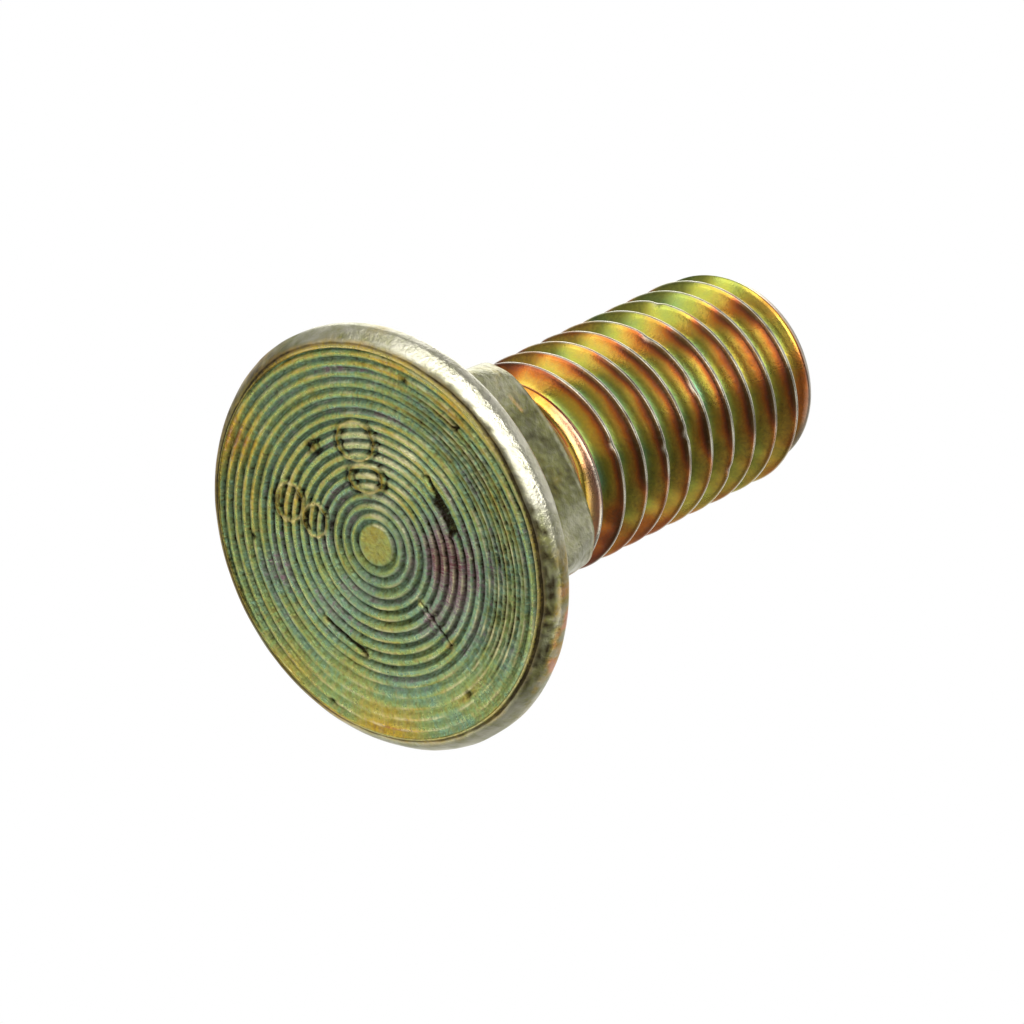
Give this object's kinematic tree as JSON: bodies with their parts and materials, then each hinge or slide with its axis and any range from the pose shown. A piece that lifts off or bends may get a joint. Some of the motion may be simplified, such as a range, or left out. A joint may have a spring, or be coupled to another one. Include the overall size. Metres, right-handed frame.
{
  "type": "plow bolt",
  "caption": "Plow bolt with a flat countersunk head, a low square neck that stops it turning, and a round shank threaded to the tip for a nut.",
  "frame": {"origin": "middle of the head's flat face, on which the bolt stands", "axes": "+Z along the bolt's axis from the head to the tip, X and Y square to the neck's flats"},
  "size_m": [0.0152, 0.0152, 0.0202],
  "materials": {
    "zinc_plated_steel": "yellow chromated zinc plate with iridescent bands, worn silver on the rim and crests"
  },
  "bodies": {
    "root": {"plow_bolt": "zinc_plated_steel"}
  },
  "joints": []
}
